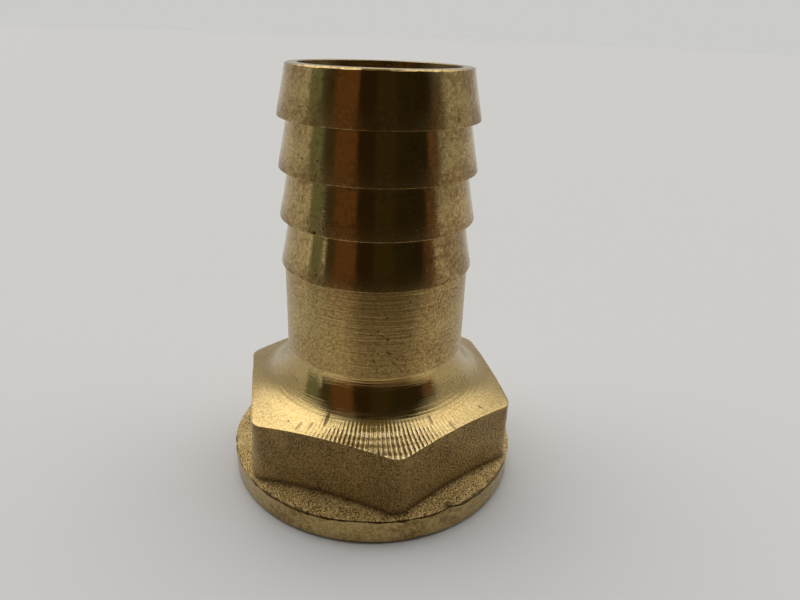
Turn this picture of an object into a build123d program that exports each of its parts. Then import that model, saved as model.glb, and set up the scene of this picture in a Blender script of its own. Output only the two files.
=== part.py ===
"""Brass hose tail: a hot-forged hexagon and collar with a turned, four-barb hose spigot above it.

One piece of brass. The axis is +Z, the collar's flat face is at z = 0 and the spigot points up.
All sizes are in millimetres.
"""

import os
from math import cos, radians, tan

from build123d import *

# ---------------------------------------------------------------- driving dimensions

# hexagon for the spanner, forged, with its corners on the Y axis
hex_across_flats = 29.5      # forged a little under a 30 mm spanner
hex_corner_radius = 2.0

# collar round the threaded mouth: its rim is turned, and its sloping top keeps the forging's own edge
collar_overhang = 0.48       # how far the forged edge stands out past the hexagon's rounded corners
collar_turning_depth = 0.12  # how far the turned rim lies inside the forged edge
collar_rim_height = 2.95     # turned rim, up to the forged edge
collar_lip_rise = 0.1        # from the turned rim out to the forged edge
collar_lip_thickness = 0.1
collar_top_slope = 16.0      # degrees, rising from the forged edge to the flats
collar_edge_break = 0.3

# shoulder turned over the top of the hexagon
shoulder_height = 11.05      # where the shoulder cone meets the middle of a flat
shoulder_slope = 13.0        # degrees
neck_fillet_radius = 5.3

# plain neck under the barbs
neck_diameter = 20.56
neck_top = 26.2

# barbs: each is a cone that narrows upwards, with a square underside
barb_count = 4
barb_pitch = 5.25
barb_crest_diameter = 21.24
barb_root_diameter = 19.3
barb_crest_land = 0.12
tip_edge_break = 0.25

# water way
bore_diameter = 16.8
bore_mouth_chamfer = 0.1
bore_seat_chamfer = 0.5

# G 3/4 female socket, at its minor diameter
thread_minor_diameter = 24.12
thread_major_diameter = 26.44
socket_depth = 9.5
socket_mouth_margin = 0.25   # how much wider than the thread's major diameter the countersink is

# ---------------------------------------------------------------- derived sizes

hex_apothem = hex_across_flats / 2
hex_corner_reach = (hex_apothem - hex_corner_radius) / cos(radians(30)) + hex_corner_radius
collar_radius = hex_corner_reach + collar_overhang
collar_rim_radius = collar_radius - collar_turning_depth
collar_lip_bottom = collar_rim_height + collar_lip_rise
collar_lip_top = collar_lip_bottom + collar_lip_thickness
neck_radius = neck_diameter / 2
crest_radius = barb_crest_diameter / 2
root_radius = barb_root_diameter / 2
bore_radius = bore_diameter / 2
thread_radius = thread_minor_diameter / 2
socket_mouth_radius = thread_major_diameter / 2 + socket_mouth_margin
total_length = neck_top + barb_count * barb_pitch


def collar_top(radius):
    """Height of the collar's sloping top at a radius."""
    return collar_lip_top + (collar_radius - radius) * tan(radians(collar_top_slope))


def shoulder(radius):
    """Height of the shoulder cone at a radius."""
    return shoulder_height - (radius - hex_apothem) * tan(radians(shoulder_slope))


def barb_points():
    """Outline of the barbs from the neck up to the tip's edge break."""
    points = []
    for barb in range(barb_count):
        underside = neck_top + barb * barb_pitch
        points.append((neck_radius if barb == 0 else root_radius, underside))
        points.append((crest_radius, underside))
        points.append((crest_radius, underside + barb_crest_land))
    points.append((root_radius, total_length - tip_edge_break))
    points.append((root_radius - tip_edge_break, total_length))
    return points


# ---------------------------------------------------------------- the hose tail

neck_foot = (neck_radius, shoulder(neck_radius))

with BuildPart() as hose_tail:
    # hexagon, as tall as the whole piece until the turned outline trims it
    with BuildSketch() as hexagon:
        RegularPolygon(hex_apothem, 6, major_radius=False, rotation=30)
        fillet(hexagon.vertices(), hex_corner_radius)
    extrude(amount=total_length)

    # turned outline: shoulder cone, fillet, neck and barbs
    with BuildSketch(Plane.XZ) as turned:
        with BuildLine():
            Polyline(
                (0, 0),
                (collar_radius, 0),
                (collar_radius, shoulder(collar_radius)),
                neck_foot,
                *barb_points(),
                (0, total_length),
                close=True,
            )
        make_face()
        fillet(turned.vertices().sort_by_distance(neck_foot)[0], neck_fillet_radius)
    revolve(axis=Axis.Z, mode=Mode.INTERSECT)

    # collar
    with BuildSketch(Plane.XZ):
        with BuildLine():
            Polyline(
                (0, 0),
                (collar_rim_radius - collar_edge_break, 0),
                (collar_rim_radius, collar_edge_break),
                (collar_rim_radius, collar_rim_height),
                (collar_radius, collar_lip_bottom),
                (collar_radius, collar_lip_top),
                (thread_radius, collar_top(thread_radius)),
                (0, collar_top(thread_radius)),
                close=True,
            )
        make_face()
    revolve(axis=Axis.Z)

    # threaded socket from below, flat seat, and the water way up through the spigot
    with BuildSketch(Plane.XZ):
        with BuildLine():
            Polyline(
                (0, 0),
                (socket_mouth_radius, 0),
                (thread_radius, socket_mouth_radius - thread_radius),
                (thread_radius, socket_depth),
                (bore_radius + bore_seat_chamfer, socket_depth),
                (bore_radius, socket_depth + bore_seat_chamfer),
                (bore_radius, total_length - bore_mouth_chamfer),
                (bore_radius + bore_mouth_chamfer, total_length),
                (0, total_length),
                close=True,
            )
        make_face()
    revolve(axis=Axis.Z, mode=Mode.SUBTRACT)

hose_tail.part.label = "hose_tail"

os.makedirs("parts", exist_ok=True)
export_step(hose_tail.part, "parts/hose_tail.step")
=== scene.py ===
"""Brass hose tail, standing on its collar on a pale table.

The solid gives the height and the collar's width. Lengths of the fitting are in millimetres, those of
the table and the lights in metres.
"""

import math

import bpy
import numpy as np
from mathutils import Matrix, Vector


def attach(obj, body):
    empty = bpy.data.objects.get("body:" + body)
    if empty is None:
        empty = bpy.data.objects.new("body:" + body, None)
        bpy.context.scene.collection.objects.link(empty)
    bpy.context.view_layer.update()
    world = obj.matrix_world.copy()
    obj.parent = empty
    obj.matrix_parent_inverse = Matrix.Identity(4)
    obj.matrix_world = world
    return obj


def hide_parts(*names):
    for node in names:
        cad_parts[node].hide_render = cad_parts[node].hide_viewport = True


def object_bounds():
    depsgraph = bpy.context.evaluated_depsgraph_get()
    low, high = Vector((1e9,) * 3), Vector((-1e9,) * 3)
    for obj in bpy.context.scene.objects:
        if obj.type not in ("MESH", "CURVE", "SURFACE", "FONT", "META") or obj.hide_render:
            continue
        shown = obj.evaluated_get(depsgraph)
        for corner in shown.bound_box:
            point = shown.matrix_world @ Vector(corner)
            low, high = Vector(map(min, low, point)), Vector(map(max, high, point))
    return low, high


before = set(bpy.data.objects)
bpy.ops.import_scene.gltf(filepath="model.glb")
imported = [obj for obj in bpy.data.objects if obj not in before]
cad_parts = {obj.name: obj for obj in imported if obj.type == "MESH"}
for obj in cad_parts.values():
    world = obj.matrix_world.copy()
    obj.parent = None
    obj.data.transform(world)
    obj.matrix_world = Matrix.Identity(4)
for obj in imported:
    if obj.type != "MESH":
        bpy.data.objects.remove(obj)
cad_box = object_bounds()

# ---------------------------------------------------------------------------------------------------
# Camera. A short lens close to the fitting, a little left of the hexagon's front corner, held at
# spigot height and looking down over the barbs at the collar.
# ---------------------------------------------------------------------------------------------------

mm = 0.001
camera_distance = 69.54          # from the axis, level
camera_height = 51.25
camera_bearing = -99.31          # degrees round the axis from +X
aim_right = 2.34                 # degrees right of the axis
aim_down = 23.53
camera_roll = 2.06
lens_mm = 29.03
film_mm = 36.0

camera_data = bpy.data.cameras.new("camera")
camera_data.lens = lens_mm
camera_data.sensor_width = film_mm
camera_data.clip_start = 5 * mm
camera = bpy.data.objects.new("camera", camera_data)
bpy.context.collection.objects.link(camera)
bearing = math.radians(camera_bearing)
camera.matrix_world = (
    Matrix.Translation((
        camera_distance * mm * math.cos(bearing),
        camera_distance * mm * math.sin(bearing),
        camera_height * mm,
    ))
    @ Matrix.Rotation(bearing + math.radians(90 - aim_right), 4, "Z")
    @ Matrix.Rotation(math.radians(90 - aim_down), 4, "X")
    @ Matrix.Rotation(math.radians(camera_roll), 4, "Z")
)
bpy.context.scene.camera = camera


# ---------------------------------------------------------------------------------------------------
# Table and light. A matt white board that sweeps up behind, under a wide soft sky with a lamp behind
# each side, and glowing sheets that only the turned metal mirrors: a dark screen, a hood and a lamp arm
# as painted reflections, and a painted shade on the table before the fitting.
# ---------------------------------------------------------------------------------------------------

class Wire:
    """An output socket of a shader, written in sums."""

    def __init__(self, paint, socket):
        self.paint = paint
        self.socket = socket

    def sum(self, operation, other, swapped=False):
        first, second = (other, self) if swapped else (self, other)
        return self.paint.node("ShaderNodeMath", {"operation": operation}, {0: first, 1: second})

    def __add__(self, other):
        return self.sum("ADD", other)

    def __radd__(self, other):
        return self.sum("ADD", other, True)

    def __sub__(self, other):
        return self.sum("SUBTRACT", other)

    def __rsub__(self, other):
        return self.sum("SUBTRACT", other, True)

    def __mul__(self, other):
        return self.sum("MULTIPLY", other)

    def __rmul__(self, other):
        return self.sum("MULTIPLY", other, True)

    def __truediv__(self, other):
        return self.sum("DIVIDE", other)


class Paint:
    """The nodes of a material, or of the world."""

    def __init__(self, owner):
        owner.use_nodes = True
        self.tree = owner.node_tree
        self.tree.nodes.clear()
        self.owner = owner

    def node(self, kind, settings=None, sockets=None, out=0):
        """A node of a kind, with its settings made first, then the values or links of its sockets."""
        made = self.tree.nodes.new(kind)
        for name, value in (settings or {}).items():
            setattr(made, name, value)
        for name, value in (sockets or {}).items():
            if isinstance(value, Wire):
                self.tree.links.new(value.socket, made.inputs[name])
            else:
                made.inputs[name].default_value = value
        return Wire(self, made.outputs[out]) if made.outputs else None

    def place(self):
        """Where on the piece, in millimetres from its origin."""
        return self.node("ShaderNodeVectorMath", {"operation": "SCALE"},
                         {0: self.node("ShaderNodeTexCoord", out=3), "Scale": 1000.0})

    def painted(self, name):
        """A value kept on the mesh's points."""
        return self.node("ShaderNodeAttribute", {"attribute_name": name}, out=2)

    def noise(self, spot, scale, detail, roughness):
        """Cloudy noise, so many lumps to the millimetre."""
        return self.node("ShaderNodeTexNoise", {}, {
            "Vector": spot, "Scale": scale, "Detail": detail, "Roughness": roughness})

    def specks(self, spot, scale, size, rarity):
        """Scattered dots of up to a size, in some of the cells of a loose grid."""
        cells = {"Vector": spot, "Scale": scale}
        off = self.node("ShaderNodeTexVoronoi", {}, cells)
        cell_colour = self.node("ShaderNodeTexVoronoi", {}, cells, out=1)
        draw = self.node("ShaderNodeSeparateColor", {}, {0: cell_colour})
        dots = self.between(off, size * scale, 0.6 * size * scale)
        return dots * self.between(draw, rarity, rarity + 0.02)

    def part(self, vector, axis):
        """One of a vector's three parts."""
        return self.node("ShaderNodeSeparateXYZ", {}, {0: vector}, out=axis)

    def dot(self, first, second):
        """How far one vector goes along another."""
        sockets = {0: first, 1: second}
        return self.node("ShaderNodeVectorMath", {"operation": "DOT_PRODUCT"}, sockets, out=1)

    def stroke(self, spot, turn, height, radius, half_long, half_wide, lean):
        """One inside a short mark on the barrel, nothing outside it."""
        way, lean = math.radians(turn), math.radians(lean)
        centre = (radius * math.cos(way), radius * math.sin(way), height)
        level = (-math.sin(way) * math.cos(lean), math.cos(way) * math.cos(lean), math.sin(lean))
        across = (math.sin(way) * math.sin(lean), -math.cos(way) * math.sin(lean), math.cos(lean))
        off = self.node("ShaderNodeVectorMath", {"operation": "SUBTRACT"}, {0: spot, 1: centre})
        long_way = self.dot(off, level)
        wide_way = self.dot(off, across)
        apart = self.node("ShaderNodeVectorMath", {"operation": "LENGTH"}, {0: off}, out=1)
        reach = (long_way / half_long).sum("POWER", 2.0) + (wide_way / half_wide).sum("POWER", 2.0)
        return self.between(reach, 1.2, 0.5) * self.between(apart, 2.0, 1.5)

    def blend(self, share, first, second):
        """From one colour to another."""
        ends = [(*end, 1) if isinstance(end, tuple) else end for end in (first, second)]
        sockets = {0: share, 6: ends[0], 7: ends[1]}
        return self.node("ShaderNodeMix", {"data_type": "RGBA"}, sockets, out=2)

    def finish(self, sockets):
        """The metal itself, with these of its sockets."""
        shader = self.node("ShaderNodeBsdfPrincipled", {}, sockets)
        self.node("ShaderNodeOutputMaterial", {}, {"Surface": shader})

    def between(self, value, low, high):
        """Nothing at one value, rising smoothly to one at the other."""
        return self.node("ShaderNodeMapRange", {"interpolation_type": "SMOOTHSTEP"},
                         {"Value": value, "From Min": low, "From Max": high})


def plain_paint(name, colour, glow=0.0):
    """A stage finish, the same all over."""
    paint = Paint(bpy.data.materials.new(name))
    if glow:
        shader = paint.node("ShaderNodeEmission", {}, {"Color": (*colour, 1), "Strength": glow})
    else:
        shader = paint.node("ShaderNodeBsdfPrincipled", {}, {
            "Base Color": (*colour, 1), "Roughness": 0.8, "Specular IOR Level": 0.2})
    paint.node("ShaderNodeOutputMaterial", {}, {"Surface": shader})
    return paint.owner


def stage_sheet(name, corners, quads, material, seen=True):
    """A part of the studio, made of a few quads."""
    sheet = bpy.data.meshes.new(name)
    sheet.from_pydata(corners, [], quads)
    sheet.materials.append(material)
    piece = bpy.data.objects.new(name, sheet)
    bpy.context.collection.objects.link(piece)
    piece.visible_camera = seen
    return piece


def ribbon(pairs, closed=False):
    """The quads of a strip whose corners come in pairs, joined up at its ends if it is closed."""
    count = 2 * pairs
    return [(2 * i, 2 * i + 1, (2 * i + 3) % count, (2 * i + 2) % count)
            for i in range(pairs if closed else pairs - 1)]


table_white = (0.665, 0.661, 0.650)
table_half_width = 4.0
table_front, table_back = -2.0, 1.6
sweep_radius = 4.0
sweep_turn = 17                  # degrees it has risen at its top edge
sweep_steps = 12

profile = [(table_front, 0.0), (table_back, 0.0)]
for step in range(1, sweep_steps + 1):
    turn = math.radians(sweep_turn * step / sweep_steps)
    profile.append((table_back + sweep_radius * math.sin(turn), sweep_radius * (1 - math.cos(turn))))
table_corners = [(side * table_half_width, y, z) for y, z in profile for side in (-1, 1)]
table_paint = plain_paint("table white", table_white)
table = stage_sheet("table", table_corners, ribbon(len(profile)), table_paint)
for face in table.data.polygons:
    face.use_smooth = True
table.matrix_world = Matrix.Rotation(bearing + math.radians(90), 4, "Z")

# a pale wall stands on the table all round, seen only by the camera
wall_radius, wall_height, wall_sides = 1.9, 1.6, 48
corners = []
for side in range(wall_sides):
    way = 2 * math.pi * side / wall_sides
    for height in (0.0, wall_height):
        corners.append((wall_radius * math.cos(way), wall_radius * math.sin(way), height))
wall = stage_sheet("wall", corners, ribbon(wall_sides, closed=True),
                   plain_paint("wall", (0.60, 0.597, 0.585), glow=1.0))
wall.visible_diffuse = False
wall.visible_glossy = False
wall.visible_shadow = False

# the screen: upright glowing strips round the axis, each from one bearing to the next, seen only in the
# metal as a painted reflection of the dark things before the fitting, their feet as painted shade on the
# table
screen_distance = 0.26
reflection_strips = [                # degrees left (-) and right (+) of the camera, top, colour
    (-84, -67, 0.16, (0.19, 0.21, 0.15)),
    (-62.5, -50, 0.34, (0.065, 0.050, 0.025)),
    (-50, -24, 0.33, (0.135, 0.066, 0.029)),
    (-24, -3, 0.50, (0.030, 0.018, 0.007)),
    (-3, 20, 0.50, (0.042, 0.031, 0.014)),
    (20, 58, 0.44, (0.029, 0.022, 0.010)),
    (58, 72, 0.095, (0.15, 0.085, 0.055)),
]
painted_shade_foot = 0.064              # how near the axis the strips run in along the table, as painted shade on it
strip_lift = 0.0006              # clear of the table and of the mat


def only_mirrored(piece):
    """Met by mirrored light alone, so that it throws no shade on the table."""
    piece.visible_diffuse = False
    piece.visible_shadow = False


strip_quads = [(0, 3, 4, 1), (1, 4, 5, 2), (3, 6, 7, 4), (4, 7, 8, 5)]
for number, (left, right, top, colour) in enumerate(reflection_strips):
    strip_side = [(painted_shade_foot, strip_lift), (screen_distance, strip_lift), (screen_distance, top)]
    corners = []
    for turn in (left, (left + right) / 2, right):
        way = bearing + math.radians(turn)
        for out, height in strip_side:
            corners.append((out * math.cos(way), out * math.sin(way), height))
    strip = stage_sheet(f"screen_{number}", corners, strip_quads,
                        plain_paint(f"screen {number}", colour, glow=1.0), seen=False)
    only_mirrored(strip)

# the hood: the screen leans over the fitting at its top, a glowing sheet seen only in the metal, a
# painted reflection of the dark above
hood_height, hood_half_width = 0.50, 0.11
hood_back = -0.11                # past the axis
corners = []
for forward in (screen_distance, hood_back):
    for side in (-hood_half_width, hood_half_width):
        corners.append((forward * math.cos(bearing) - side * math.sin(bearing),
                        forward * math.sin(bearing) + side * math.cos(bearing), hood_height))
hood = stage_sheet("hood", corners, ribbon(2),
                   plain_paint("hood", (0.17, 0.145, 0.10), glow=1.0), seen=False)
only_mirrored(hood)

# the arm of the lamp stand crosses above, to the left: a glowing strip seen only in the metal, a painted
# reflection of the arm
arm_radius = 0.30
arm_width = 3.2                  # degrees
arm_foot = 0.012                 # height that its rise is taken from
arm_way = [                      # degrees from the camera, degrees of rise
    (-136, 62), (-122, 67), (-105, 68.5), (-90, 66), (-75, 60), (-64, 52), (-60, 40),
]
corners = []
for turn, rise in arm_way:
    for edge in (-arm_width / 2, arm_width / 2):
        way, up = bearing + math.radians(turn), math.radians(rise + edge)
        corners.append((arm_radius * math.cos(way) * math.cos(up),
                        arm_radius * math.sin(way) * math.cos(up),
                        arm_radius * math.sin(up) + arm_foot))
arm = stage_sheet("lamp_arm", corners, ribbon(len(arm_way)),
                  plain_paint("lamp arm", (0.30, 0.28, 0.22), glow=1.0), seen=False)
only_mirrored(arm)

# the screen's foot: a glowing sheet on the table before the fitting, seen only in the metal, a painted
# shade on the table
table_shade_near, table_shade_far, table_shade_soft_edge = 0.030, 0.070, 0.016
table_shade_left, table_shade_right, table_shade_fade = -44, 62, 32      # degrees from the camera
table_shade_lift = 0.0004
table_shade_bearings = range(-60, 75, 6)
corners = []
for turn in table_shade_bearings:
    way = bearing + math.radians(turn)
    for reach_out in (table_shade_near, table_shade_far):
        corners.append((reach_out * math.cos(way), reach_out * math.sin(way), table_shade_lift))
table_shade_paint = Paint(bpy.data.materials.new("painted table shade"))
table_shade_spot = table_shade_paint.node("ShaderNodeTexCoord", out=3)
table_shade_turned = table_shade_paint.node("ShaderNodeVectorRotate", {"rotation_type": "Z_AXIS"},
                            {"Vector": table_shade_spot, "Angle": -bearing})
table_shade_x = table_shade_paint.part(table_shade_turned, 0)
table_shade_y = table_shade_paint.part(table_shade_turned, 1)
table_shade_turn = table_shade_y.sum("ARCTAN2", table_shade_x) * math.degrees(1)
dark = (table_shade_paint.between(table_shade_turn, table_shade_left, table_shade_left + table_shade_fade)
        * table_shade_paint.between(table_shade_turn, table_shade_right, table_shade_right - table_shade_fade))
far_off = (table_shade_x * table_shade_x + table_shade_y * table_shade_y).sum("POWER", 0.5)
dark = dark * table_shade_paint.between(far_off, table_shade_near, table_shade_near + table_shade_soft_edge)
table_shade_glow = table_shade_paint.node("ShaderNodeEmission", {}, {
    "Color": table_shade_paint.blend(dark, (0.74, 0.69, 0.62), (0.190, 0.138, 0.086)), "Strength": 1.0})
table_shade_paint.node("ShaderNodeOutputMaterial", {}, {"Surface": table_shade_glow})
table_shade_sheet = stage_sheet("painted_shade_foot", corners, ribbon(len(table_shade_bearings)), table_shade_paint.owner, seen=False)
only_mirrored(table_shade_sheet)

# light by direction: an even sky, a broad lamp behind each side, and shade over the screen
world = bpy.data.worlds.new("studio")
bpy.context.scene.world = world
sky = Paint(world)
direction = sky.node("ShaderNodeTexCoord")


def toward_light(turn, rise, inner, outer):
    """One within an angle of a direction, nothing beyond a wider one."""
    way = bearing + math.radians(turn)
    level = math.cos(math.radians(rise))
    aim = (level * math.cos(way), level * math.sin(way), math.sin(math.radians(rise)))
    none, full = math.cos(math.radians(outer)), math.cos(math.radians(inner))
    return sky.between(sky.dot(direction, aim), none, full)


# each lamp: degrees from the camera, rise, then where it is full and where it ends
sky_low, sky_high = 0.50, 0.95
way_up = sky.part(direction, 2)
even = sky_low + sky.between(way_up, 0.25, 0.95) * (sky_high - sky_low)
lamps = toward_light(-130, 57, 12, 40) * 1.2 + toward_light(128, 54, 10, 38) * 0.75
shade = toward_light(0, 0, 64, 88) * 0.85
light = (even + lamps) * (1 - shade)
sky.node("ShaderNodeOutputWorld", {}, {
    "Surface": sky.node("ShaderNodeBackground", {}, {"Color": (1, 0.99, 0.975, 1), "Strength": light})})

bpy.context.scene.view_settings.view_transform = "Standard"
bpy.context.scene.view_settings.look = "None"


# ---------------------------------------------------------------------------------------------------
# The forging. Brass stamped hot in a two-part die: a hexagon for a 30 mm spanner on a round collar,
# shot-blasted, with the die's own edge left standing round the collar's rim.
# ---------------------------------------------------------------------------------------------------

hex_across_flats = 29.5
hex_corner_radius = 2.0
collar_radius = cad_box[1][0] / mm
rim_radius = collar_radius - 0.12
rim_edge_break = 0.3
crevice_height = 2.86            # dark line where the turning stopped under the forged edge
crevice_depth = 0.30
lip_bottom = 3.02
lip_top = 3.15
collar_slope = math.tan(math.radians(16))
shoulder_height = 11.05
shoulder_slope = math.radians(13)
foot_fillet = 0.30

apothem = hex_across_flats / 2
corner_centre = (apothem - hex_corner_radius) / math.cos(math.radians(30))

# columns of the mesh round the axis: closer together over the hexagon's corners
corner_bearing = 30.0
fine_reach, fine_steps, plain_steps = 5.0, 16, 20
sector = np.concatenate([
    np.linspace(-30, -fine_reach, plain_steps, endpoint=False),
    np.linspace(-fine_reach, fine_reach, fine_steps, endpoint=False),
    np.linspace(fine_reach, 30, plain_steps, endpoint=False),
])
angles = np.radians(np.concatenate([sector + corner_bearing + 60 * k for k in range(6)]))
columns = len(angles)


def hexagon_reach(turns):
    """Distance from the axis to the hexagon's rounded outline."""
    off = (turns - math.radians(corner_bearing) + math.pi / 6) % (math.pi / 3) - math.pi / 6
    tangent = math.atan2(hex_corner_radius / 2, corner_centre + hex_corner_radius * math.cos(math.pi / 6))
    level = corner_centre * np.cos(off)
    rounded = level + np.sqrt(np.maximum(level**2 - corner_centre**2 + hex_corner_radius**2, 0))
    return np.where(np.abs(off) < tangent, rounded, apothem / np.cos(np.abs(off) - math.pi / 6))


def waves(seed, counts):
    """A smooth wander round the axis, within about one either way."""
    draw = np.random.default_rng(seed)
    total = sum(math.sqrt(1 / n) * np.sin(n * angles + draw.uniform(0, 2 * math.pi)) for n in counts)
    return total / sum(math.sqrt(1 / n) for n in counts) * 1.6


def near(bearing_deg, width_deg):
    """One at a bearing, falling off within a width of it."""
    off = (angles - math.radians(bearing_deg) + math.pi) % (2 * math.pi) - math.pi
    return np.exp(-((off / math.radians(width_deg)) ** 2))


def toward(start, end):
    """Unit step from one point of each column to another."""
    way = end - start
    return way / np.maximum(np.hypot(way[0], way[1]), 1e-9)


class Outline:
    """Rings of the closed section, from the mouth's edge up the outside and down the bore."""

    def __init__(self):
        self.corners = []

    def to(self, radius, height, steps, finish, ease=0.0):
        """A straight run to a radius and a height, with its end eased by a small bevel."""
        here = (np.broadcast_to(np.asarray(radius, float), (columns,)),
                np.broadcast_to(np.asarray(height, float), (columns,)))
        self.corners.append((np.stack(here), steps, finish, ease))

    def rings(self):
        """Every ring's radii and heights, with the finish of the band that leads to it."""
        rings, finishes = [], []
        count = len(self.corners)
        for i, (point, steps, finish, ease) in enumerate(self.corners):
            before, _, _, ease_before = self.corners[i - 1]
            after = self.corners[(i + 1) % count][0]
            start = before + ease_before * toward(before, point)
            end = point + ease * toward(point, before)
            for step in range(1, steps + 1):
                rings.append(start + (end - start) * step / steps)
                finishes.append(finish)
            if ease:
                leave = point + ease * toward(point, after)
                rings.append((end + leave + 2 * point) / 4)
                rings.append(leave)
                finishes += [finish, finish]
        return np.array(rings), finishes


mouth_radius = 13.47
outline = Outline()
outline.to(mouth_radius, 0, 2, "tapped", 0.04)
outline.to(rim_radius - rim_edge_break, 0, 3, "rim", 0.10)
outline.to(rim_radius, rim_edge_break, 1, "rim", 0.12)

# the die's edge wanders round the collar, with one place chipped away
chip_bearing = 290
chip = near(chip_bearing, 2.6)
wander = 0.13 * waves(11, (3, 5, 8, 13)) + 0.045 * waves(12, (21, 34, 47)) + 0.22 * near(chip_bearing, 4)
ragged = 0.085 * waves(13, (29, 41, 53, 64, 83))
broken_edge = 0.5 * ragged - 0.16 * chip
outline.to(rim_radius, crevice_height - 0.12 + wander + ragged, 7, "rim")
outline.to(rim_radius - crevice_depth, crevice_height - 0.02 + wander, 1, "forged")
outline.to(collar_radius - 0.06 + broken_edge, lip_bottom + wander, 1, "forged", 0.03)
outline.to(collar_radius - 0.08 + broken_edge, lip_top + 0.5 * wander, 1, "forged", 0.05)

reach = hexagon_reach(angles)
foot = np.minimum(foot_fillet, 0.85 * (collar_radius - reach))
foot_height = lip_top + (collar_radius - reach) * collar_slope
top_height = shoulder_height - (reach - apothem) * math.tan(shoulder_slope)
outline.to(reach + foot, lip_top + (collar_radius - reach - foot) * collar_slope, 7, "forged")
for share in (0.25, 0.5, 0.75, 1.0):
    sink = (1 - share) ** 2
    rise = share**2
    outline.to(reach + foot * sink, foot_height - foot * collar_slope * sink + foot * rise, 1, "forged")
outline.to(reach, top_height, 12, "forged", 0.02)


# ---------------------------------------------------------------------------------------------------
# The turned end. One tool sweeps the shoulder, the hollow fillet and the plain neck. A form tool cuts
# four barbs, each a cone with a square underside, and the tip is parted off and its edge broken.
# ---------------------------------------------------------------------------------------------------

tip_height = cad_box[1][2] / mm
neck_radius = 10.28
neck_fillet = 5.3
fillet_steps = 24
neck_top = 26.2
barb_count = 4
barb_pitch = (tip_height - neck_top) / barb_count
crest_radius = 10.62
crest_land = 0.12
crest_ease = 0.07
root_radius = 9.65
tip_break = 0.18
tip_lean = 0.17                  # the tip is a little out of square: twice this lower on its far side
tip_high_bearing = -99.31

fillet_centre_radius = neck_radius + neck_fillet
fillet_centre_height = (
    shoulder_height - (fillet_centre_radius - apothem) * math.tan(shoulder_slope)
    + neck_fillet / math.cos(shoulder_slope)
)
fillet_start = math.pi / 2 - shoulder_slope
for step in range(fillet_steps + 1):
    turn = fillet_start * (1 - step / fillet_steps)
    outline.to(fillet_centre_radius - neck_fillet * math.cos(turn),
               fillet_centre_height - neck_fillet * math.sin(turn),
               6 if step == 0 else 1, "shoulder")
outline.to(neck_radius, neck_top, 12, "neck")
for barb in range(barb_count):
    underside = neck_top + barb * barb_pitch
    if barb:
        outline.to(root_radius, underside, 6, "barb")
    outline.to(crest_radius, underside, 1, "barb", crest_ease)
    outline.to(crest_radius, underside + crest_land, 1, "barb")
tip_cut = tip_lean * (1 - np.cos(angles - math.radians(tip_high_bearing)))
burr = 0.035 * waves(31, (13, 22, 31, 47, 58))
outline.to(root_radius, tip_height - tip_break - 0.6 * tip_cut + burr, 6, "barb", 0.05)
outline.to(root_radius - tip_break + burr, tip_height - tip_cut, 1, "rim", 0.05)


# ---------------------------------------------------------------------------------------------------
# The water way. Drilled and bored from the mouth, with a flat seat for a washer, then tapped with a
# right-hand parallel pipe thread, 55 degree, rounded at crest and root, and countersunk.
# ---------------------------------------------------------------------------------------------------

bore_radius = 8.4
bore_mouth_chamfer = 0.03
seat_height = 9.5
seat_chamfer = 0.5
thread_minor = 12.06
thread_major = 13.22
thread_pitch = 1.814
thread_run_out = 1.6
thread_rings = 68

outline.to(bore_radius + bore_mouth_chamfer, tip_height - tip_cut, 2, "rim", 0.01)
outline.to(bore_radius, tip_height - tip_cut - bore_mouth_chamfer, 1, "bore")
outline.to(bore_radius, seat_height + seat_chamfer, 14, "bore", 0.05)
outline.to(bore_radius + seat_chamfer, seat_height, 1, "bore", 0.05)
outline.to(thread_minor, seat_height, 3, "bore")
outline.to(thread_minor, mouth_radius - thread_minor, thread_rings, "tapped")

rings, finishes = outline.rings()
radii, heights = rings[:, 0, :], rings[:, 1, :]


def with_finish(name):
    """Which rings carry a finish, one value to a ring."""
    return np.array([finish == name for finish in finishes])[:, None]


# the tap's helix, fading out before the seat; the countersink cuts it back at the mouth
inside = with_finish("tapped") & (heights < seat_height - 0.01)
phase = (heights / thread_pitch - angles[None, :] / (2 * math.pi)) * 2 * math.pi
groove = np.clip(0.5 + 0.62 * np.cos(phase) + 0.06 * np.cos(3 * phase), 0, 1)
fade = np.clip((seat_height - 0.3 - heights) / thread_run_out, 0, 1)
cut = thread_minor + (thread_major - thread_minor) * groove * fade
radii = np.where(inside & (heights > 0.02), np.maximum(radii, cut), radii)


# ---------------------------------------------------------------------------------------------------
# The finished piece. One closed brass skin over all these rings, never quite flat where it was forged,
# with the grime, wear and tarnish of the store, some painted shade, sheen, highlights and reflections,
# and a finish for each way it was worked.
# ---------------------------------------------------------------------------------------------------

forged = with_finish("forged")
unevenness = (
    0.035 * waves(21, (4, 7, 11, 17))[None, :] * np.sin(heights * 0.9 + 0.4)
    + 0.025 * waves(22, (6, 9, 14, 23))[None, :] * np.cos(heights * 1.7)
)
radii = radii - np.where(forged, np.abs(unevenness), 0)

mesh_points = np.stack([
    radii * np.cos(angles)[None, :] * mm,
    radii * np.sin(angles)[None, :] * mm,
    heights * mm,
], axis=-1).reshape(-1, 3)
ring_count = len(rings)
quads = []
slots = []
finish_names = ["rim", "forged", "shoulder", "neck", "barb", "bore", "tapped"]
for ring in range(ring_count):
    below = (ring - 1) % ring_count
    for column in range(columns):
        beside = (column + 1) % columns
        quads.append((below * columns + column, below * columns + beside,
                      ring * columns + beside, ring * columns + column))
        slots.append(finish_names.index(finishes[ring]))

body_mesh = bpy.data.meshes.new("hose_tail_brass")
body_mesh.from_pydata(mesh_points.tolist(), [], quads)
body_mesh.polygons.foreach_set("use_smooth", [True] * len(quads))

# feed: length along the section from the neck's foot, which the tool's rings follow
travel = np.cumsum(np.hypot(
    np.diff(radii, axis=0, prepend=radii[-1:]),
    np.diff(heights, axis=0, prepend=heights[-1:]),
), axis=0)
travel = travel - travel[finishes.index("neck")][None, :]

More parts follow.
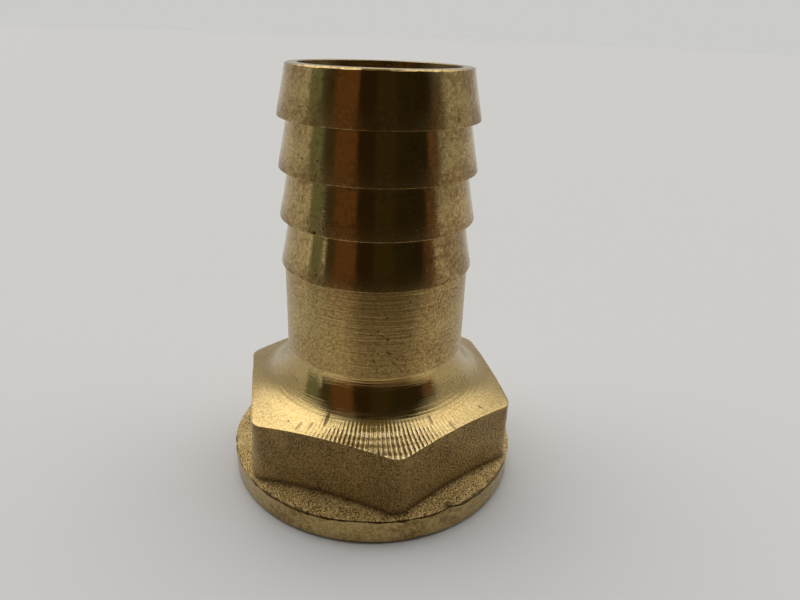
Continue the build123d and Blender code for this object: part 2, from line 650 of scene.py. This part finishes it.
# wear: how near a barb's crest, and how far out on the shoulder
climb = (heights - neck_top) / barb_pitch
crest_wear = np.clip(1 - (climb - np.floor(climb)) * 1.9, 0, 1)
shoulder_wear = np.clip((radii - 12.4) / 2, 0, 1)
wear = np.where(with_finish("barb"), crest_wear, 0.0)
wear = np.where(with_finish("shoulder"), shoulder_wear, wear)

# grime and painted shade: painted shade with grime in the corner at the hexagon's foot, a painted shadow
# in the crevice under the lip, and grime in the chip
above_collar = heights - (lip_top + (collar_radius - radii) * collar_slope)
in_corner = np.exp(-((np.hypot((radii - reach) * 1.6, above_collar - 0.25)) / 0.42) ** 2)
in_crevice = forged & (heights < lip_bottom + 0.1) & (heights > 1.5) & (radii > rim_radius - 1)
by_lip = forged & (radii > rim_radius - 0.45)
grime_and_shade = np.where(forged, in_corner, 0.0)
grime_and_shade = np.where(in_crevice, 1.0, grime_and_shade)
grime_and_shade = np.where(by_lip, np.maximum(grime_and_shade, chip[None, :]), grime_and_shade)

# rubbed and sheen: the collar's top, brighter than the hexagon's sides by a painted sheen, its grain worn
rubbed_and_sheen = np.where(forged & (np.abs(above_collar) < 0.25), 1.0, 0.0)

# chatter: strongest over one corner of the hexagon, and only out on the shoulder
chatter_bearing, chatter_spread, chatter_elsewhere = -93, 23, 0.05
chatter = chatter_elsewhere + near(chatter_bearing, chatter_spread)[None, :]
chatter = chatter * np.clip((radii - 11.6) / 1.9, 0, 1) ** 2

# soil: tarnish, where hands and neighbours in the box touched it
touches = [(-50, 22, 1.0), (-152, 12, 0.5), (170, 30, 0.6), (75, 25, 0.6)]   # bearing, spread, share
handled = sum(near(turn, spread) * share for turn, spread, share in touches)
handled = handled + 0.2 * np.abs(waves(41, (2, 3, 5)))
soil = np.clip(handled[None, :] * (0.75 + 0.25 * np.sin(heights * 1.1)) + wear * 0.7, 0, 1)
soil = np.where(with_finish("shoulder"), soil * 0.5, soil)
soil = np.where(with_finish("rim"), 0.5, soil)

layers = {
    "feed": travel, "wear": wear, "grime_and_shade": grime_and_shade, "chatter": chatter, "soil": soil, "rubbed_and_sheen": rubbed_and_sheen,
}
for name, values in layers.items():
    layer = body_mesh.attributes.new(name, "FLOAT", "POINT")
    layer.data.foreach_set("value", np.broadcast_to(values, radii.shape).reshape(-1).astype(np.float32))

body = bpy.data.objects.new("hose_tail_brass", body_mesh)
bpy.context.collection.objects.link(body)


blast_hollow, blast_top = (0.190, 0.110, 0.037), (0.55, 0.380, 0.148)
sheen_hollow, rubbed_sheen_top = (0.235, 0.137, 0.045), (1.0, 0.75, 0.33)
shade_and_grime_black = (0.075, 0.040, 0.014)
forging_pit = (0.06, 0.030, 0.012)


def forged_brass():
    """Shot-blasted skin: brown, and on the collar's top a painted sheen, with the tops of its grain worn
    bright.
    """
    paint = Paint(bpy.data.materials.new("forged brass"))
    spot = paint.place()
    grit = paint.node("ShaderNodeTexVoronoi", {"feature": "SMOOTH_F1"}, {
        "Vector": spot, "Scale": 4.8, "Smoothness": 0.2, "Randomness": 1.0})
    grain = paint.noise(spot, 7.4, 2, 0.7)
    lumps = paint.noise(spot, 1.4, 2, 0.5)
    cloud = paint.noise(spot, 0.33, 3, 0.55)
    grime_and_shade = paint.painted("grime_and_shade")
    rubbed_and_sheen = paint.painted("rubbed_and_sheen")
    tone = grain * 0.95 + cloud * 0.22 - grit * 0.28
    colour = paint.blend(paint.between(tone, 0.30, 0.58), blast_hollow, blast_top)
    # on the collar's top a painted sheen: brighter colours there, the tops of the grain worn bright
    bright = paint.blend(paint.between(tone, 0.30, 0.53), sheen_hollow, rubbed_sheen_top)
    colour = paint.blend(rubbed_and_sheen, colour, bright)
    # darker with grime, and with painted shade in the corner at the foot and in the crevice
    colour = paint.blend(grime_and_shade * 0.75, colour, shade_and_grime_black)
    pits = paint.specks(spot, 0.55, 0.15, 0.80)
    colour = paint.blend(pits * 0.85, colour, forging_pit)
    height = grain * 0.15 - grit * 0.21 + lumps * 0.05 - pits * 0.03
    roughness = 0.30 + grain * 0.10 + rubbed_and_sheen * 0.08
    relief = paint.node("ShaderNodeBump", {}, {"Strength": 1.0, "Distance": mm, "Height": height})
    paint.finish({"Base Color": colour, "Roughness": roughness, "Normal": relief, "Metallic": 1.0})
    return paint.owner


clean_brass, stain_brown = (0.55, 0.408, 0.17), (0.20, 0.115, 0.042)
dusty_brown = (0.26, 0.153, 0.052)
turned_pit = (0.05, 0.025, 0.010)
scratch_and_reflection_dark = (0.055, 0.026, 0.012)
tick_highlight, tick_shade = (0.95, 0.83, 0.53), (0.36, 0.250, 0.110)
chatter_ticks = 187              # round the axis
chatter_rows = 6.283             # radians to a millimetre of feed, so one row to each


def turned_brass(name, smooth, rough, line_depth, stain_share, speckle=0.3, rarity=0.72,
                 chattered=False, marks=()):
    """A face left by the tool: fine rings, stained and pitted in store."""
    paint = Paint(bpy.data.materials.new(name))
    spot = paint.place()
    feed_mark = paint.painted("feed")
    worn = paint.painted("wear")
    soiled = paint.painted("soil")
    level = {0: spot, 1: (0.12, 0.12, 0.0)}
    flat = paint.node("ShaderNodeVectorMath", {"operation": "MULTIPLY"}, level)
    along = paint.node("ShaderNodeCombineXYZ", {}, {"Z": feed_mark * 3.4})
    rings_at = paint.node("ShaderNodeVectorMath", {"operation": "ADD"}, {0: flat, 1: along})
    rings_cut = paint.noise(rings_at, 1.0, 3, 0.6)
    mottle = paint.noise(spot, 1.9, 5, 0.75)
    cloud = paint.noise(spot, 0.22, 2, 0.5)
    grain = paint.noise(spot, 3.6, 3, 0.75)
    stain = paint.between(mottle + cloud * 0.5 + soiled * 0.20, 0.76, 1.12) * stain_share
    colour = paint.blend(stain, clean_brass, stain_brown)
    dusty = paint.between(grain, 0.44, 0.58)
    colour = paint.blend(dusty * (speckle + soiled * 0.50), colour, dusty_brown)
    pits = paint.specks(spot, 0.75, 0.13, rarity)
    colour = paint.blend(pits * 0.9, colour, turned_pit)
    roughness = smooth + worn * (rough - smooth) + stain * 0.12 + pits * 0.3 + dusty * 0.05
    height = rings_cut * line_depth + grain * (0.01 * speckle) + mottle * 0.006
    height = height - stain * 0.004 - pits * 0.008
    # marks: dark scratches and nicks, and on the rim and shoulder some painted reflections
    for mark_turn, mark_height, mark_radius, half_long, half_wide, lean, depth in marks:
        mark = paint.stroke(spot, mark_turn, mark_height, mark_radius, half_long, half_wide, lean)
        colour = paint.blend(mark * depth, colour, scratch_and_reflection_dark)
        height = height - mark * 0.006
    if chattered:
        turn = paint.part(spot, 1).sum("ARCTAN2", paint.part(spot, 0))
        share = paint.painted("chatter")
        band = (feed_mark * chatter_rows).sum("COSINE", 0.0) * 0.30 + 0.80
        broken = paint.noise(spot, 3.2, 2, 0.6)
        tick = (turn * chatter_ticks + cloud * 2 + broken * 1.6).sum("SINE", 0.0) * band
        # the tool's chatter ticks, with a painted highlight on each tick and painted shade between them
        colour = paint.blend(paint.between(tick, 0.0, 0.9) * share * 0.8, colour, tick_highlight)
        colour = paint.blend(paint.between(tick, 0.1, -0.8) * share * 0.35, colour, tick_shade)
        height = height + tick * share * (0.004 + broken * 0.042)
        roughness = roughness + share * 0.15
    relief = paint.node("ShaderNodeBump", {}, {"Strength": 1.0, "Distance": mm, "Height": height})
    paint.finish({"Base Color": colour, "Roughness": roughness, "Normal": relief, "Metallic": 1.0,
                  "Anisotropic": 0.6, "Anisotropic Rotation": 0.25})
    return paint.owner


# bearing, height and radius of the mark, half its length and width, its lean from level, how dark
barb_marks = [
    (-150.5, 42.95, 10.43, 0.45, 0.07, 35, 0.55), (-144.5, 43.5, 10.33, 0.6, 0.07, 8, 0.6),
    (-137.5, 43.4, 10.36, 0.5, 0.07, -30, 0.55), (-147.7, 42.73, 10.48, 0.09, 0.08, 0, 0.9),
    (-138.4, 46.55, 9.73, 0.11, 0.10, 0, 0.7), (-148.7, 38.9, 10.24, 0.22, 0.12, -35, 0.7),
    (-145.4, 38.7, 10.24, 0.2, 0.1, -20, 0.7), (-133.3, 38.76, 10.25, 0.14, 0.12, 0, 0.8),
    (-147.4, 34.78, 10.0, 0.09, 0.14, 0, 0.95), (-134.9, 31.71, 10.58, 0.19, 0.19, 0, 0.95),
    (-129.2, 32.24, 10.48, 0.12, 0.08, 20, 0.9), (-137.8, 29.16, 10.07, 0.08, 0.08, 0, 0.9),
    (-135.0, 27.18, 10.45, 0.13, 0.13, 0, 0.9), (-78.5, 34.32, 10.1, 0.12, 0.12, 0, 0.9),
    (-53.6, 42.75, 10.5, 0.3, 0.24, 60, 0.55), (-57.0, 26.5, 10.6, 0.7, 0.07, 12, 0.9),
]
neck_marks = [
    (-142.9, 23.99, 10.28, 0.1, 0.1, 0, 0.9), (-79.2, 24.96, 10.28, 0.12, 0.1, 0, 0.9),
    (-145.9, 19.10, 10.28, 0.1, 0.1, 0, 0.9), (-153.8, 18.2, 10.28, 0.08, 0.08, 0, 0.8),
    (-143.8, 16.79, 10.28, 0.13, 0.1, 0, 0.7), (-44.4, 20.17, 10.28, 0.1, 0.12, 0, 0.8),
    (-129.8, 22.99, 10.28, 0.1, 0.07, 0, 0.8), (-125.1, 22.85, 10.28, 0.1, 0.07, 0, 0.8),
    (-99.8, 18.39, 10.28, 0.11, 0.12, 0, 0.95), (-97.4, 19.26, 10.28, 0.1, 0.11, 0, 0.85),
    (-94.0, 21.2, 10.28, 0.5, 0.07, -35, 0.55), (-91.9, 20.9, 10.28, 0.2, 0.14, -30, 0.75),
    (-91.0, 19.3, 10.28, 0.42, 0.16, -28, 0.55), (-86.5, 18.6, 10.28, 0.5, 0.06, -38, 0.5),
    (-83.0, 17.1, 10.28, 0.6, 0.07, -48, 0.55), (-88.0, 18.1, 10.28, 0.25, 0.12, -20, 0.5),
]
# on the rim the first two marks are a painted reflection of something dark, the last two small nicks
rim_reflection_and_nicks = [
    (-69.5, 1.35, 17.08, 1.6, 0.6, -25, 0.28), (-66.0, 2.3, 17.08, 0.8, 0.25, -10, 0.3),
    (-132.5, 1.88, 17.08, 0.15, 0.12, 0, 0.7), (-140.2, 1.60, 17.08, 0.22, 0.10, 0, 0.6),
]
# on the shoulder the radial streaks are painted reflections, the last two small nicks
shoulder_reflections_and_nicks = [
    (-122.5, 11.95, 12.6, 0.5, 0.26, 90, 0.75), (-128.5, 11.38, 13.5, 0.22, 0.20, 90, 0.5),
    (-133.3, 11.22, 14.0, 0.2, 0.24, 90, 0.45), (-70.8, 11.82, 12.7, 0.35, 0.22, 90, 0.6),
    (-62.1, 11.22, 14.1, 0.2, 0.24, 90, 0.5), (-71.5, 11.0, 15.0, 0.16, 0.2, 90, 0.4),
    (-41.3, 11.18, 14.2, 0.1, 0.1, 0, 0.9), (-97.0, 10.82, 15.7, 0.14, 0.12, 0, 0.9),
]

# in the order of finish_names; the numbers are roughness plain and worn, depth of the tool's lines,
# share of stain, speckle
for material in (
    turned_brass("turned rim", 0.15, 0.34, 0.020, 1.0, 0.22, marks=rim_reflection_and_nicks),
    forged_brass(),
    turned_brass("turned shoulder", 0.11, 0.12, 0.042, 0.42, 0.20, chattered=True, marks=shoulder_reflections_and_nicks),
    turned_brass("turned neck", 0.30, 0.34, 0.040, 0.38, 0.50, rarity=0.25, marks=neck_marks),
    turned_brass("turned barbs", 0.085, 0.27, 0.012, 1.0, 0.24, marks=barb_marks),
    turned_brass("bored brass", 0.22, 0.3, 0.02, 0.6),
    turned_brass("tapped brass", 0.22, 0.3, 0.01, 0.6),
):
    body_mesh.materials.append(material)
body_mesh.polygons.foreach_set("material_index", slots)
body_mesh.set_sharp_from_angle(angle=math.radians(42))
weigh = body.modifiers.new("even shading", "WEIGHTED_NORMAL")
weigh.keep_sharp = True

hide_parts("hose_tail")
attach(body, "root")
